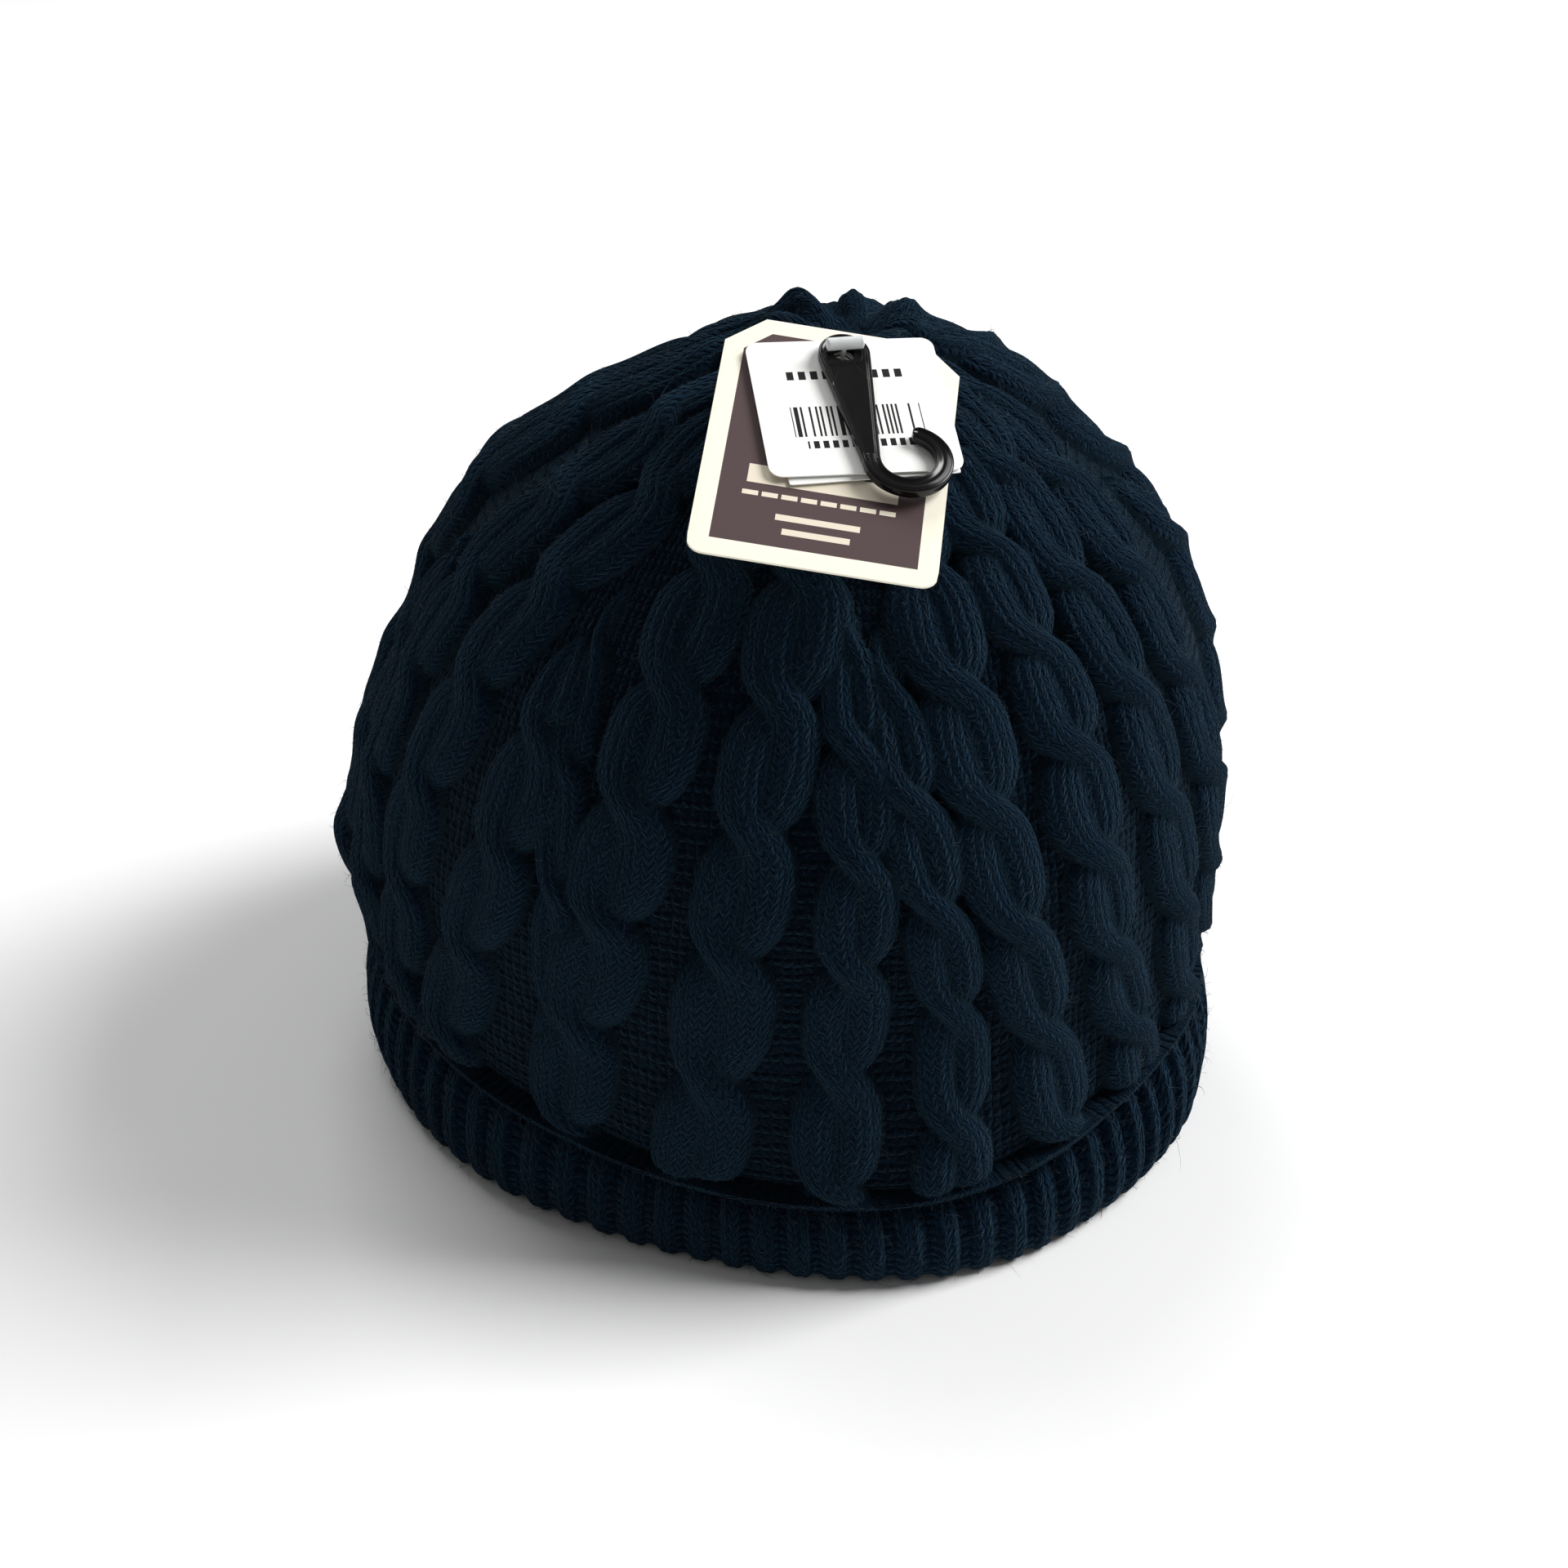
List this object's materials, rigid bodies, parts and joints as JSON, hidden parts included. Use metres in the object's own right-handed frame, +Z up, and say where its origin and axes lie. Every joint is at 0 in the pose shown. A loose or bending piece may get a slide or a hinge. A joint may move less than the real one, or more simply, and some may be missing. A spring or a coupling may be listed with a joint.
{
  "type": "knit beanie",
  "caption": "Cable-knit beanie with a ribbed band, a gathered top and a pinned tag set: hang tag, price cards and a plastic display hook.",
  "frame": {"origin": "middle of the head opening, on the plane that the rim rests on", "axes": "+Z up to the gathered top, -Y out of the front that carries the tags, +X to the right seen from the front"},
  "size_m": [0.1952, 0.1992, 0.1763],
  "materials": {
    "cable_knit": "soft",
    "rib_knit": "soft",
    "yarn": "soft",
    "seam": "soft",
    "label": "satin",
    "tag_board": "matt",
    "under_board": "matt",
    "card_board": "matt",
    "hook_plastic": "gloss",
    "pin_plastic": "satin"
  },
  "bodies": {
    "hat": {"crown_knit": "cable_knit", "rib_band": "rib_knit", "gathering_yarn": "yarn", "back_seam": "seam", "care_label": "label", "tag_pin_anchor": "pin_plastic"},
    "tag_pin": {"tag_pin_head": "pin_plastic"},
    "hang_tag": {"hang_tag": "tag_board"},
    "price_card_under": {"price_card_under": "under_board"},
    "price_card": {"price_card": "card_board"},
    "display_hook": {"display_hook": "hook_plastic"}
  },
  "joints": [
    {"name": "tag_lift", "type": "hinge", "parent": "hat", "child": "tag_pin", "pos_m": [0.0103, -0.03129, 0.17367], "axis": [-0.9744, -0.225, 0], "range_deg": [0, 75]},
    {"name": "hang_tag_swivel", "type": "hinge", "parent": "tag_pin", "child": "hang_tag", "pos_m": [0.013, -0.043, 0.16642], "axis": [0.1021, -0.4424, 0.891], "range_deg": [-30, 30]},
    {"name": "price_card_under_swivel", "type": "hinge", "parent": "tag_pin", "child": "price_card_under", "pos_m": [0.013, -0.043, 0.16642], "axis": [0.1021, -0.4424, 0.891], "range_deg": [-30, 30]},
    {"name": "price_card_swivel", "type": "hinge", "parent": "tag_pin", "child": "price_card", "pos_m": [0.013, -0.043, 0.16642], "axis": [0.1021, -0.4424, 0.891], "range_deg": [-34, 34]},
    {"name": "display_hook_swivel", "type": "hinge", "parent": "tag_pin", "child": "display_hook", "pos_m": [0.013, -0.043, 0.16642], "axis": [0.1021, -0.4424, 0.891], "range_deg": [-40, 40]}
  ]
}
